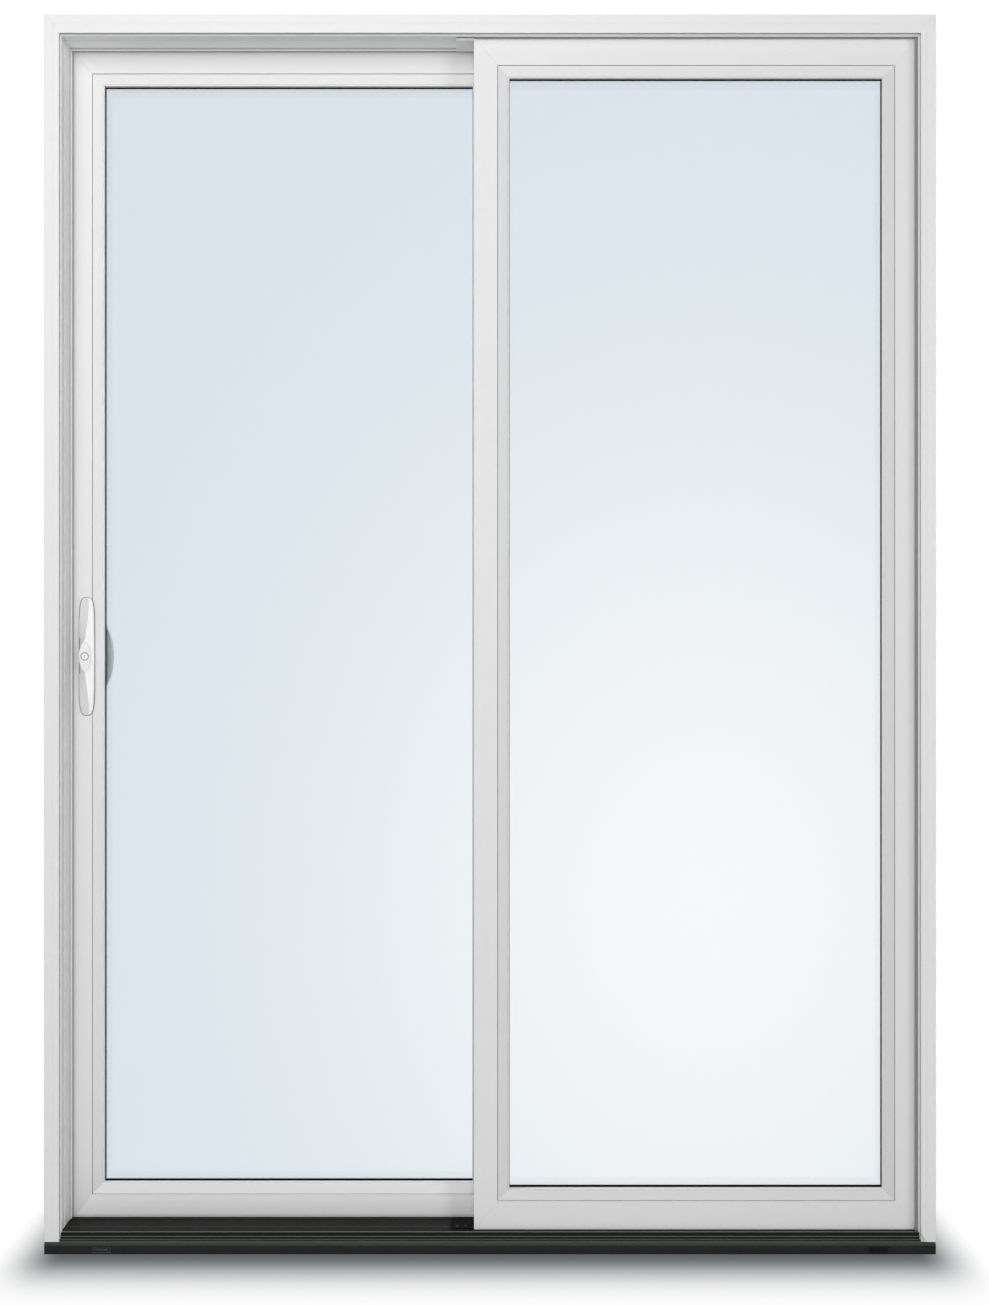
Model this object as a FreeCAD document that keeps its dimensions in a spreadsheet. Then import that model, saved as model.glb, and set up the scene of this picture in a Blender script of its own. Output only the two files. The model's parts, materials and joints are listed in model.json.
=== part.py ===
import FreeCAD
import Part
import Sketcher
import math
import os

# Two-panel gliding patio door, in millimetres.
# +X is right as seen from outside, +Y goes to the inside, +Z is up.
# The origin is the middle of the sill's underside.
# The right panel is fixed in the outer plane; the left panel glides behind it.

SIZES = [
    ("frame_width", 1505),
    ("frame_height", 2092),
    ("frame_depth", 116),
    ("jamb_face", 25),
    ("head_face", 30.4),
    ("jamb_web", 14.5),
    ("head_web", 14),
    ("lip_depth", 17),
    ("panel_pocket", 1.5),
    ("stop_thick", 3),
    ("stop_lip", 2),
    ("inner_leg_thick", 6),
    ("lip_groove_start", 1.5),
    ("lip_groove_width", 5),
    ("lip_groove_depth", 3),
    ("fin_proud", 2),
    ("reveal_start", 10.5),
    ("reveal_end", 31),
    ("reveal_depth", 2),
    ("shadow_gap", 7),
    ("shadow_gap_top", 2.5),
    ("shadow_depth", 16),
    ("sill_floor", 10),
    ("nose_height", 21),
    ("nose_bevel_run", 3),
    ("nose_bevel_rise", 6.6),
    ("low_step_setback", 4.5),
    ("low_step_rise", 2),
    ("high_step_setback", 7),
    ("high_step_rise", 6),
    ("riser_setback", 9.5),
    ("sill_top", 34.3),
    ("threshold_chamfer", 1.5),
    ("threshold_line", 26),
    ("threshold_line_width", 2),
    ("threshold_line_depth", 1.2),
    ("threshold_lip_height", 2),
    ("threshold_lip_thick", 2),
    ("inner_leg_top", 42),
    ("track_rib_width", 5),
    ("track_height", 9),
    ("weep_width", 30),
    ("weep_height", 9.5),
    ("weep_proud", 2.4),
    ("weep_edge", 97),
    ("weep_lift", 2.5),
    ("head_block_width", 31),
    ("head_block_height", 4.5),
    ("sill_block_width", 40),
    ("sill_block_height", 2.5),
    ("slide_gap", 5),
    ("edge_gap", 5.5),
    ("top_gap", 7),
    ("panel_drop", 9.3),
    ("meeting_offset", 27.3),
    ("meeting_overlap", 57.3),
    ("stile_flat", 40),
    ("rail_flat", 48),
    ("bead_width", 20.2),
    ("bead_groove", 0.9),
    ("bead_set", 1),
    ("bead_fall", 3),
    ("bead_round", 2.5),
    ("bead_ledge", 2),
    ("bead_ledge_thick", 2.5),
    ("gasket_thick", 5),
    ("gasket_show", 0.3),
    ("gasket_bed", 9),
    ("glass_set", 14),
    ("glass_thick", 4),
    ("glass_cavity", 10),
    ("glass_edge_gap", 4),
    ("spacer_inset", 3),
    ("spacer_width", 7),
    ("rear_lip", 8.5),
    ("wheel_radius", 12),
    ("wheel_flange", 2),
    ("wheel_width", 12),
    ("wheel_groove", 7),
    ("axle_radius", 4),
    ("roller_pocket_width", 16),
    ("roller_clear", 3),
    ("roller_inset", 110),
    ("roller_lift", 0.3),
    ("lock_height", 1009),
    ("lock_backset", 31.5),
    ("handle_length", 204),
    ("handle_width", 25.4),
    ("handle_rise", 12.5),
    ("eye_length", 56),
    ("eye_width", 20),
    ("eye_rise", 14),
    ("scoop_length", 90),
    ("scoop_rise", 8),
    ("scoop_reach", 5.2),
    ("cylinder_radius", 6.5),
    ("cylinder_seat_gap", 0.1),
    ("plug_radius", 4.6),
    ("plug_gap", 0.05),
    ("keyway_width", 1.4),
    ("keyway_length", 5.6),
    ("keyway_depth", 6),
    ("spindle_radius", 3),
    ("spindle_gap", 0.6),
    ("escutcheon_width", 54),
    ("escutcheon_length", 150),
    ("escutcheon_thick", 8),
    ("pull_length", 110),
    ("pull_width", 12),
    ("pull_reach", 50),
    ("pull_bar", 12),
    ("pull_foot", 12),
    ("pull_corner", 15),
    ("turn_hub_radius", 9),
    ("turn_hub_thick", 6),
    ("turn_lever_length", 30),
    ("turn_lever_width", 6),
    ("turn_lever_rise", 8),
    ("turn_gap", 0.3),
    ("faceplate_width", 22),
    ("faceplate_length", 150),
    ("faceplate_thick", 2.5),
    ("hook_slot_width", 8),
    ("hook_slot_length", 40),
    ("strike_width", 24),
    ("strike_length", 120),
    ("strike_thick", 2),
]


class Size:
    """A length that carries both its number and the sheet expression behind it."""

    def __init__(self, number, text):
        self.number = number
        self.text = text

    def __add__(self, other):
        other = as_size(other)
        return Size(self.number + other.number, "(%s + %s)" % (self.text, other.text))

    def __sub__(self, other):
        other = as_size(other)
        return Size(self.number - other.number, "(%s - %s)" % (self.text, other.text))

    def __mul__(self, factor):
        return Size(self.number * factor, "(%s * %r)" % (self.text, float(factor)))

    def __truediv__(self, divisor):
        return Size(self.number / divisor, "(%s / %r)" % (self.text, float(divisor)))

    def __neg__(self):
        return Size(-self.number, "(-1 * %s)" % self.text)


def as_size(value):
    if isinstance(value, Size):
        return value
    return Size(float(value), repr(float(value)))


doc = FreeCAD.newDocument("PatioDoor")
sheet = doc.addObject("Spreadsheet::Sheet", "Sizes")


class Dimensions:
    """The sheet's cells, one attribute for each alias."""


dim = Dimensions()
for row, (alias, value) in enumerate(SIZES, start=1):
    sheet.set("A%d" % row, alias.replace("_", " "))
    sheet.set("B%d" % row, str(value))
    sheet.setAlias("B%d" % row, alias)
    setattr(dim, alias, Size(float(value), "Sizes." + alias))
doc.recompute()

parts = []


def new_part(label):
    """An empty body whose label names its file."""
    body = doc.addObject("PartDesign::Body", label)
    body.Label = label
    parts.append(body)
    return body


def sketch_on(body, plane, offset):
    """A sketch on one of the body's own planes, moved to offset along the plane's axis."""
    sketch = body.newObject("Sketcher::SketchObject", body.Name + "_outline")
    role = plane + "_Plane"
    support = [item for item in body.Origin.OriginFeatures if item.Role == role][0]
    sketch.AttachmentSupport = [(support, "")]
    sketch.MapMode = "FlatFace"
    along = -offset if plane == "XZ" else offset
    sketch.setExpression("AttachmentOffset.Base.z", along.text)
    return sketch


def tie_point(sketch, edge, end, point):
    """Ties one end of an edge to two lengths of the sheet."""
    for kind, size in (("DistanceX", point[0]), ("DistanceY", point[1])):
        index = sketch.addConstraint(Sketcher.Constraint(kind, edge, end, size.number))
        sketch.setExpression("Constraints[%d]" % index, size.text)


def draw_polygon(sketch, points):
    """A closed outline of straight edges with every corner tied to the sheet."""
    points = [(as_size(x), as_size(y)) for x, y in points]
    first = sketch.GeometryCount
    count = len(points)
    corners = [FreeCAD.Vector(x.number, y.number, 0) for x, y in points]
    for index in range(count):
        edge = Part.LineSegment(corners[index], corners[(index + 1) % count])
        sketch.addGeometry(edge, False)
    for index in range(count):
        following = first + (index + 1) % count
        sketch.addConstraint(Sketcher.Constraint("Coincident", first + index, 2, following, 1))
        tie_point(sketch, first + index, 1, points[index])


def draw_circle(sketch, centre, radius):
    """A circle whose centre and radius are tied to the sheet."""
    middle = FreeCAD.Vector(centre[0].number, centre[1].number, 0)
    edge = sketch.addGeometry(Part.Circle(middle, FreeCAD.Vector(0, 0, 1), radius.number), False)
    tie_point(sketch, edge, 3, centre)
    index = sketch.addConstraint(Sketcher.Constraint("Radius", edge, radius.number))
    sketch.setExpression("Constraints[%d]" % index, radius.text)


def draw_lens(sketch, centre, width, length):
    """Two equal arcs that meet in points above and below the centre."""
    half_width = width.number / 2
    half_length = length.number / 2
    radius = (half_width ** 2 + half_length ** 2) / (2 * half_width)
    reach = math.atan2(half_length, radius - half_width)
    axis = FreeCAD.Vector(0, 0, 1)
    for side, turn in ((-1, 0.0), (1, math.pi)):
        x = centre[0].number + side * (radius - half_width)
        middle = FreeCAD.Vector(x, centre[1].number, 0)
        circle = Part.Circle(middle, axis, radius)
        sketch.addGeometry(Part.ArcOfCircle(circle, turn - reach, turn + reach), False)
    sketch.addConstraint(Sketcher.Constraint("Coincident", 0, 2, 1, 1))
    sketch.addConstraint(Sketcher.Constraint("Coincident", 0, 1, 1, 2))
    tie_point(sketch, 0, 1, (centre[0], centre[1] - length / 2))
    tie_point(sketch, 0, 2, (centre[0], centre[1] + length / 2))
    bulge = "((%s)^2 + (%s)^2) / (4 * %s)" % (width.text, length.text, width.text)
    for edge in (0, 1):
        index = sketch.addConstraint(Sketcher.Constraint("Radius", edge, radius))
        sketch.setExpression("Constraints[%d]" % index, bulge)


def pad(body, sketch, plane, length):
    """Thickens a sketch along the positive axis of its plane."""
    feature = body.newObject("PartDesign::Pad", body.Name + "_pad")
    feature.Profile = sketch
    feature.Reversed = plane == "XZ"
    feature.setExpression("Length", length.text)
    doc.recompute()
    return feature


def pocket(body, sketch, plane, length):
    """Cuts a sketch along the positive axis of its plane and proves that it removes material."""
    before = body.Shape.Volume
    feature = body.newObject("PartDesign::Pocket", body.Name + "_pocket")
    feature.Profile = sketch
    feature.Reversed = plane != "XZ"
    feature.setExpression("Length", length.text)
    doc.recompute()
    if body.Shape.Volume >= before:
        raise RuntimeError("%s: a pocket cuts nothing" % body.Label)
    return feature


def prism(label, plane, points, low, high):
    """A part made by thickening an outline from low to high."""
    body = new_part(label)
    sketch = sketch_on(body, plane, as_size(low))
    draw_polygon(sketch, points)
    pad(body, sketch, plane, as_size(high) - low)
    return body


def add_prism(body, plane, points, low, high):
    sketch = sketch_on(body, plane, low)
    draw_polygon(sketch, points)
    pad(body, sketch, plane, high - low)


def cut_prism(body, plane, points, low, high):
    sketch = sketch_on(body, plane, low)
    draw_polygon(sketch, points)
    pocket(body, sketch, plane, high - low)


def add_rod(body, plane, centre, radius, low, high):
    sketch = sketch_on(body, plane, low)
    draw_circle(sketch, centre, radius)
    pad(body, sketch, plane, high - low)


def cut_rod(body, plane, centre, radius, low, high):
    sketch = sketch_on(body, plane, low)
    draw_circle(sketch, centre, radius)
    pocket(body, sketch, plane, high - low)


def rectangle(x_low, x_high, y_low, y_high):
    return [(x_low, y_low), (x_high, y_low), (x_high, y_high), (x_low, y_high)]


def round_edges(body, wanted, radius):
    """Fillets the edges that the test picks out."""
    names = []
    for index, edge in enumerate(body.Shape.Edges, start=1):
        if wanted(edge):
            names.append("Edge%d" % index)
    base = body.Tip
    feature = body.newObject("PartDesign::Fillet", body.Name + "_round")
    feature.Base = (base, names)
    feature.setExpression("Radius", radius.text)
    doc.recompute()


# Planes of the frame, from the outer face to the inner one
half_width = dim.frame_width / 2
front = -(dim.frame_depth / 2)
back = dim.frame_depth / 2
spare_depth = dim.frame_depth - dim.lip_depth - dim.stop_thick - dim.slide_gap * 2 - dim.inner_leg_thick
panel_thick = spare_depth / 2
fixed_front = front + dim.lip_depth
fixed_back = fixed_front + panel_thick
channel_front = fixed_back + dim.stop_thick
slide_front = channel_front + dim.slide_gap
slide_back = slide_front + panel_thick
slide_middle = (slide_front + slide_back) / 2
channel_back = slide_back + dim.slide_gap

# Clear opening, channel walls and the two panels
left_face = dim.jamb_face - half_width
right_face = half_width - dim.jamb_face
head_low = dim.frame_height - dim.head_face
web_right = half_width - dim.jamb_web
web_left = dim.jamb_web - half_width
channel_top = dim.frame_height - dim.head_web
fixed_left = -dim.meeting_offset
fixed_right = right_face + dim.panel_pocket
fixed_low = dim.sill_top
fixed_high = head_low + dim.panel_pocket
slide_left = web_left + dim.edge_gap
slide_right = fixed_left + dim.meeting_overlap
slide_low = dim.sill_top - dim.panel_drop
slide_high = channel_top - dim.top_gap
lock_x = slide_left + dim.lock_backset
lock_z = dim.lock_height


def cut_fixed_seat(body):
    """The shallow seat that takes the fixed panel's edge."""
    points = rectangle(fixed_left, fixed_right, fixed_low, fixed_high)
    cut_prism(body, "XZ", points, fixed_front, fixed_back)


def cut_lip_groove(body):
    """The deep shadow groove just behind the outer face, right round the opening."""
    deep = dim.lip_groove_depth
    points = rectangle(left_face - deep, right_face + deep, dim.nose_height, head_low + deep)
    low = front + dim.lip_groove_start
    cut_prism(body, "XZ", points, low, low + dim.lip_groove_width)


def cut_reveal(body):
    """The broad shallow step of the reveal beside the gliding panel."""
    deep = dim.reveal_depth
    points = rectangle(left_face - deep, fixed_left, dim.sill_top, head_low + deep)
    cut_prism(body, "XZ", points, front + dim.reveal_start, front + dim.reveal_end)


def left_strip(proud):
    """A mitred strip that stands proud of the left reveal, from the sill to the head."""
    edge = left_face + proud
    return [(left_face, dim.sill_top), (edge, dim.sill_top), (edge, head_low - proud), (left_face, head_low)]


def right_strip(proud):
    edge = right_face - proud
    low = dim.sill_top
    return [(edge, low), (right_face, low), (right_face, head_low), (edge, head_low - proud)]


def head_strip(proud):
    low = head_low - proud
    left = left_face + proud
    right = right_face - proud
    return [(left, low), (right, low), (right_face, head_low), (left_face, head_low)]


def add_fin_and_lip(body, strip):
    """The fin behind the shadow groove, and the lip at the back of the outer stop."""
    fin_front = front + dim.lip_groove_start + dim.lip_groove_width
    add_prism(body, "XZ", strip(dim.fin_proud), fin_front, front + dim.reveal_start)
    add_prism(body, "XZ", strip(dim.stop_lip), fixed_back, channel_front)


def make_left_jamb():
    """A web over the frame's whole depth, with an outer and an inner stop that form the channel."""
    points = [
        (-half_width, dim.nose_height),
        (web_left, dim.nose_height),
        (web_left, channel_top),
        (-half_width, dim.frame_height),
    ]
    body = prism("left_jamb", "XZ", points, front, back)
    foot = rectangle(-half_width, web_left, dim.sill_floor, dim.nose_height)
    add_prism(body, "XZ", foot, channel_front, back)
    cut_prism(body, "YZ", strike_outline(), web_left - dim.strike_thick, web_left)
    points = [
        (web_left, dim.nose_height),
        (left_face, dim.nose_height),
        (left_face, head_low),
        (web_left, channel_top),
    ]
    body = prism("left_outer_stop", "XZ", points, front, channel_front)
    cut_lip_groove(body)
    cut_reveal(body)
    add_fin_and_lip(body, left_strip)
    points = [
        (web_left, dim.inner_leg_top),
        (left_face, dim.inner_leg_top),
        (left_face, head_low),
        (web_left, channel_top),
    ]
    prism("left_inner_stop", "XZ", points, channel_back, back)


def make_right_jamb():
    """The same three pieces on the side that holds the fixed panel."""
    points = [
        (web_right, dim.nose_height),
        (half_width, dim.nose_height),
        (half_width, dim.frame_height),
        (web_right, channel_top),
    ]
    body = prism("right_jamb", "XZ", points, front, back)
    foot = rectangle(web_right, half_width, dim.sill_floor, dim.nose_height)
    add_prism(body, "XZ", foot, channel_front, back)
    points = [
        (right_face, dim.nose_height),
        (web_right, dim.nose_height),
        (web_right, channel_top),
        (right_face, head_low),
    ]
    body = prism("right_outer_stop", "XZ", points, front, channel_front)
    cut_lip_groove(body)
    cut_fixed_seat(body)
    add_fin_and_lip(body, right_strip)
    points = [
        (right_face, dim.inner_leg_top),
        (web_right, dim.inner_leg_top),
        (web_right, channel_top),
        (right_face, head_low),
    ]
    prism("right_inner_stop", "XZ", points, channel_back, back)


def make_head_jamb():
    """The head's web and stops, mitred to those of the jambs."""
    points = [
        (web_left, channel_top),
        (web_right, channel_top),
        (half_width, dim.frame_height),
        (-half_width, dim.frame_height),
    ]
    prism("head_jamb", "XZ", points, front, back)
    points = [
        (left_face, head_low),
        (right_face, head_low),
        (web_right, channel_top),
        (web_left, channel_top),
    ]
    body = prism("head_outer_stop", "XZ", points, front, channel_front)
    cut_lip_groove(body)
    cut_fixed_seat(body)
    cut_reveal(body)
    add_fin_and_lip(body, head_strip)
    points = [
        (left_face, head_low),
        (right_face, head_low),
        (web_right, channel_top),
        (web_left, channel_top),
    ]
    prism("head_inner_stop", "XZ", points, channel_back, back)


def make_sill():
    """The outer sill with its bevelled nose, and the pan under the track."""
    nose_edge = front + dim.nose_bevel_run
    points = [
        (front, as_size(0)),
        (channel_front, as_size(0)),
        (channel_front, dim.nose_height),
        (nose_edge, dim.nose_height),
        (front, dim.nose_height - dim.nose_bevel_rise),
    ]
    prism("sill", "YZ", points, -half_width, half_width)
    points = rectangle(channel_front, back, as_size(0), dim.sill_floor)
    prism("track_pan", "YZ", points, -half_width, half_width)


def make_threshold():
    """The stepped threshold between the jambs with a lip at its back, and the leg along the inside."""
    chamfer = dim.threshold_chamfer
    line = front + dim.threshold_line
    line_end = line + dim.threshold_line_width
    line_low = dim.sill_top - dim.threshold_line_depth
    low_step = front + dim.low_step_setback
    low_tread = dim.nose_height + dim.low_step_rise
    high_step = front + dim.high_step_setback
    high_tread = dim.nose_height + dim.high_step_rise
    riser = front + dim.riser_setback
    points = [
        (low_step, dim.nose_height),
        (channel_front, dim.nose_height),
        (channel_front, dim.sill_top),
        (line_end, dim.sill_top),
        (line_end, line_low),
        (line, line_low),
        (line, dim.sill_top),
        (riser + chamfer, dim.sill_top),
        (riser, dim.sill_top - chamfer),
        (riser, high_tread),
        (high_step, high_tread),
        (high_step, low_tread),
        (low_step, low_tread),
    ]
    body = prism("threshold", "YZ", points, left_face, right_face)
    lip_top = dim.sill_top + dim.threshold_lip_height
    points = rectangle(channel_front - dim.threshold_lip_thick, channel_front, dim.sill_top, lip_top)
    add_prism(body, "YZ", points, left_face + dim.stop_lip, right_face - dim.stop_lip)
    points = rectangle(channel_back, back, dim.sill_floor, dim.inner_leg_top)
    prism("inner_sill_leg", "YZ", points, web_left, web_right)


def make_track():
    """A rib with a bevelled crown that the grooved wheels straddle."""
    rib = dim.track_rib_width / 2
    crown = rib / 2
    top = dim.sill_floor + dim.track_height
    points = [
        (slide_middle - rib, dim.sill_floor),
        (slide_middle + rib, dim.sill_floor),
        (slide_middle + rib, top - crown),
        (slide_middle + crown, top),
        (slide_middle - crown, top),
        (slide_middle - rib, top - crown),
    ]
    prism("roller_track", "YZ", points, web_left, web_right)


def make_weep_covers():
    low = dim.weep_lift
    high = dim.weep_lift + dim.weep_height
    points = [
        (front, low),
        (front, high),
        (front - dim.weep_proud / 2, high),
        (front - dim.weep_proud, low),
    ]
    outer = dim.weep_edge - half_width
    prism("left_weep_cover", "YZ", points, outer - dim.weep_width / 2, outer + dim.weep_width / 2)
    outer = half_width - dim.weep_edge
    prism("right_weep_cover", "YZ", points, outer - dim.weep_width / 2, outer + dim.weep_width / 2)


def make_seal_blocks():
    low = head_low - dim.head_block_height
    points = rectangle(fixed_left - dim.head_block_width, fixed_left, low, head_low)
    prism("head_seal_block", "XZ", points, fixed_front, fixed_back)
    top = dim.sill_top + dim.sill_block_height
    points = rectangle(fixed_left - dim.sill_block_width, fixed_left, dim.sill_top, top)
    prism("sill_seal_block", "XZ", points, fixed_front, fixed_back)


def upright_outline(width, length):
    """An upright rectangle on the lock's level, centred on the gliding panel's thickness."""
    return rectangle(
        slide_middle - width / 2,
        slide_middle + width / 2,
        lock_z - length / 2,
        lock_z + length / 2,
    )


def strike_outline():
    return upright_outline(dim.strike_width, dim.strike_length)


def faceplate_outline():
    return upright_outline(dim.faceplate_width, dim.faceplate_length)


def hook_slot():
    return upright_outline(dim.hook_slot_width, dim.hook_slot_length)


def make_strike():
    low = web_left - dim.strike_thick
    body = prism("strike_plate", "YZ", strike_outline(), low, web_left)
    cut_prism(body, "YZ", hook_slot(), low, web_left)


class Panel:
    """One sash: mitred stiles and rails, glazing beads and a sealed glass unit."""

    def __init__(self, prefix, left, right, low, high, face):
        self.prefix = prefix
        self.left = left
        self.right = right
        self.low = low
        self.high = high
        self.face = face
        self.rear = face + panel_thick
        self.rebate = face + dim.glass_set + dim.glass_thick * 2 + dim.glass_cavity

    def inset(self, extra):
        """The rectangle that lies extra inside the flats of the stiles and rails."""
        x_in = dim.stile_flat + extra
        z_in = dim.rail_flat + extra
        return rectangle(self.left + x_in, self.right - x_in, self.low + z_in, self.high - z_in)

    def make_member(self, side):
        """A stile or rail with mitred ends, cut back for the glass."""
        outer = rectangle(self.left, self.right, self.low, self.high)
        flat = self.inset(as_size(0))
        lip = self.inset(dim.rear_lip)
        start = {"bottom_rail": 0, "right_stile": 1, "top_rail": 2, "left_stile": 3}[side]
        end = (start + 1) % 4
        points = [outer[start], outer[end], flat[end], lip[end], lip[start], flat[start]]
        body = prism(self.prefix + side, "XZ", points, self.face, self.rear)
        cut_prism(body, "XZ", flat, self.face, self.rebate)
        return body

    def make_bead(self, side):
        """A bead with a soft inner edge and mitred ends."""
        upright = side in ("left", "right")
        near = self.left if side == "left" else self.low
        sign = 1
        if side == "right":
            near = self.right
            sign = -1
        if side == "top":
            near = self.high
            sign = -1
        flat = dim.stile_flat if upright else dim.rail_flat
        outside = near + (flat + dim.bead_groove) * sign
        inside = near + (flat + dim.bead_width) * sign
        crest = self.face + dim.bead_set
        foot = self.face + dim.glass_set - dim.gasket_thick
        shoulder = near + (flat + dim.bead_width - dim.bead_ledge) * sign
        ledge = foot - dim.bead_ledge_thick
        section = [
            (outside, foot),
            (outside, crest),
            (shoulder, crest + dim.bead_fall),
            (shoulder, ledge),
            (inside, ledge),
            (inside, foot),
        ]
        label = self.prefix + side + "_bead"
        if upright:
            low = self.low + dim.rail_flat
            high = self.high - dim.rail_flat
            body = prism(label, "XY", section, low, high)
        else:
            low = self.left + dim.stile_flat
            high = self.right - dim.stile_flat
            body = prism(label, "YZ", [(y, z) for z, y in section], low, high)

        def inner_crest(edge):
            centre = edge.CenterOfMass
            across = centre.x if upright else centre.z
            at_shoulder = abs(across - shoulder.number) < 1e-6
            at_front = abs(centre.y - (crest + dim.bead_fall).number) < 1e-6
            return at_shoulder and at_front

        round_edges(body, inner_crest, dim.bead_round)
        corners = {"bottom": (0, 1), "right": (1, 2), "top": (2, 3), "left": (3, 0)}[side]
        for corner in corners:
            flat_point = self.inset(as_size(0))[corner]
            sight_point = self.inset(dim.bead_width)[corner]
            beyond = (flat_point[0], sight_point[1])
            if upright:
                beyond = (sight_point[0], flat_point[1])
            cut_prism(body, "XZ", [flat_point, sight_point, beyond], self.face, foot)

    def make_ring(self, label, outer, inner, low, high):
        body = prism(self.prefix + label, "XZ", self.inset(outer), low, high)
        cut_prism(body, "XZ", self.inset(inner), low, high)

    def make_glazing(self):
        outer_front = self.face + dim.glass_set
        outer_back = outer_front + dim.glass_thick
        inner_front = outer_back + dim.glass_cavity
        edge = self.inset(dim.glass_edge_gap)
        prism(self.prefix + "outer_glass", "XZ", edge, outer_front, outer_back)
        prism(self.prefix + "inner_glass", "XZ", edge, inner_front, self.rebate)
        start = dim.glass_edge_gap + dim.spacer_inset
        self.make_ring("spacer", start, start + dim.spacer_width, outer_back, inner_front)
        show = dim.bead_width + dim.gasket_show
        self.make_ring("gasket", dim.gasket_bed, show, outer_front - dim.gasket_thick, outer_front)

    def make_beads(self):
        for side in ("top", "bottom", "left", "right"):
            self.make_bead(side)


def make_fixed_panel():
    """The outer sash, whose front is cut back along its right and top edges by a shadow gap."""
    panel = Panel("fixed_", fixed_left, fixed_right, fixed_low, fixed_high, fixed_front)
    inner_x = fixed_right - dim.shadow_gap
    inner_z = fixed_high - dim.shadow_gap_top
    beyond = fixed_right + dim.shadow_gap
    over = fixed_high + dim.shadow_gap_top
    gap = [
        (inner_x, fixed_low - dim.shadow_gap),
        (beyond, fixed_low - dim.shadow_gap),
        (beyond, over),
        (fixed_left - dim.shadow_gap, over),
        (fixed_left - dim.shadow_gap, inner_z),
        (inner_x, inner_z),
    ]
    for side in ("left_stile", "right_stile", "top_rail", "bottom_rail"):
        body = panel.make_member(side)
        cut_prism(body, "XZ", gap, fixed_front, fixed_front + dim.shadow_depth)
    panel.make_beads()
    panel.make_glazing()


def make_gliding_panel():
    panel = Panel("gliding_", slide_left, slide_right, slide_low, slide_high, slide_front)
    cut_lock(panel.make_member("left_stile"))
    panel.make_member("right_stile")
    panel.make_member("top_rail")
    cut_roller_pockets(panel.make_member("bottom_rail"))
    panel.make_beads()
    panel.make_glazing()


def cut_lock(stile):
    """The spindle hole through the stile and the faceplate's seat in its edge."""
    hole = dim.spindle_radius + dim.spindle_gap
    cut_rod(stile, "XZ", (lock_x, lock_z), hole, slide_front, slide_back)
    cut_prism(stile, "YZ", faceplate_outline(), slide_left, slide_left + dim.faceplate_thick)


def roller_centres():
    return (
        ("left_roller", slide_left + dim.roller_inset),
        ("right_roller", slide_right - dim.roller_inset),
    )


def axle_height():
    return dim.sill_floor + dim.track_height + dim.roller_lift + dim.wheel_radius


def cut_roller_pockets(rail):
    """A pocket in the rail's underside for each wheel."""
    reach = dim.wheel_radius + dim.wheel_flange + dim.roller_clear
    half = dim.roller_pocket_width / 2
    for label, x in roller_centres():
        points = rectangle(x - reach, x + reach, slide_low, axle_height() + reach)
        cut_prism(rail, "XZ", points, slide_middle - half, slide_middle + half)


def make_rollers():
    """Grooved wheels on axles that span their pockets."""
    half_pocket = dim.roller_pocket_width / 2
    half_wheel = dim.wheel_width / 2
    half_groove = dim.wheel_groove / 2
    rim = dim.wheel_radius + dim.wheel_flange
    slope = dim.wheel_flange
    section = [
        (-half_pocket, as_size(0)),
        (half_pocket, as_size(0)),
        (half_pocket, dim.axle_radius),
        (half_wheel, dim.axle_radius),
        (half_wheel, rim),
        (half_groove, rim),
        (half_groove - slope / 2, dim.wheel_radius),
        (slope / 2 - half_groove, dim.wheel_radius),
        (-half_groove, rim),
        (-half_wheel, rim),
        (-half_wheel, dim.axle_radius),
        (-half_pocket, dim.axle_radius),
    ]
    for label, x in roller_centres():
        body = new_part(label)
        sketch = sketch_on(body, "YZ", x)
        sketch.setExpression("AttachmentOffset.Base.x", slide_middle.text)
        sketch.setExpression("AttachmentOffset.Base.y", axle_height().text)
        draw_polygon(sketch, section)
        feature = body.newObject("PartDesign::Revolution", label + "_turned")
        feature.Profile = sketch
        feature.ReferenceAxis = (sketch, ["H_Axis"])
        feature.Angle = 360
        doc.recompute()


HANDLE_END = 0.995
HANDLE_STATIONS = (0.2, 0.4, 0.6, 0.8, 0.9, 0.95, 0.98, HANDLE_END)


def handle_station(along):
    """Outline, crest, height and side of the pull, as shares of its half width and its rise.

    The outline (1 - s^8)^(1/3) gives blunt round ends, the crest swings from left of the middle at
    the eye to the right at both ends, and the height falls with the outline and with s^2.
    """
    share = abs(along)
    wide = (1 - share**8) ** (1 / 3) * (1 - 0.06 * share**2)
    crest = 0.73 * share**2 * (3 - 2 * share) - 0.15
    rise = wide * (1 - 0.3 * share**2)
    return wide, crest, rise, rise * 0.38


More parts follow.
